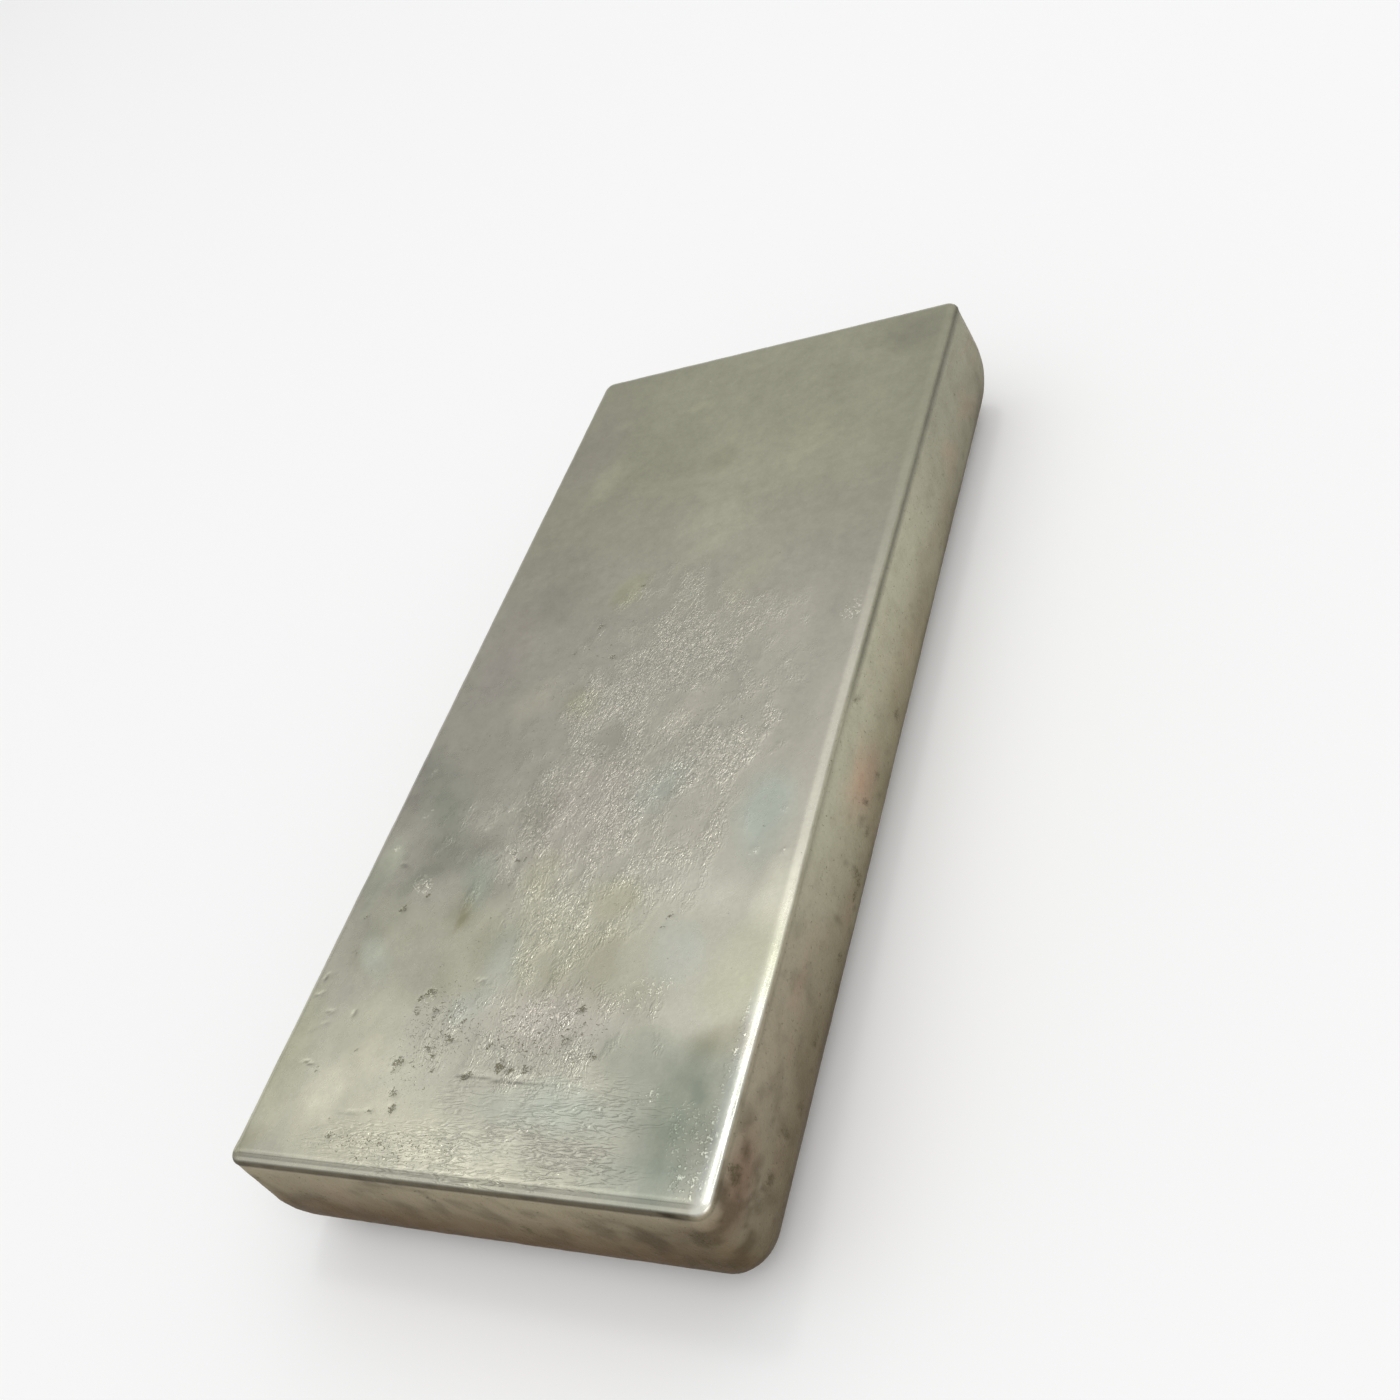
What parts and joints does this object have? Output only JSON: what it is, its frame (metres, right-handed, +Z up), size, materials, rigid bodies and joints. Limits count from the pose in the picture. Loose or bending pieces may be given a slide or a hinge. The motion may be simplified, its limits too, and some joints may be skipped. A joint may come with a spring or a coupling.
{
  "type": "metal ingot",
  "caption": "Open-cast white metal ingot, a bar with sloping walls, a bevelled rim round its flat mould face and a rounded lower edge.",
  "frame": {"origin": "middle of the underside, level with the floor that the ingot lies on", "axes": "+Z up from the cast underside to the mould face, +Y along the bar's length, +X across it"},
  "size_m": [0.0802, 0.174, 0.0235],
  "materials": {
    "white_metal": "satin"
  },
  "bodies": {
    "root": {"ingot": "white_metal"}
  },
  "joints": []
}
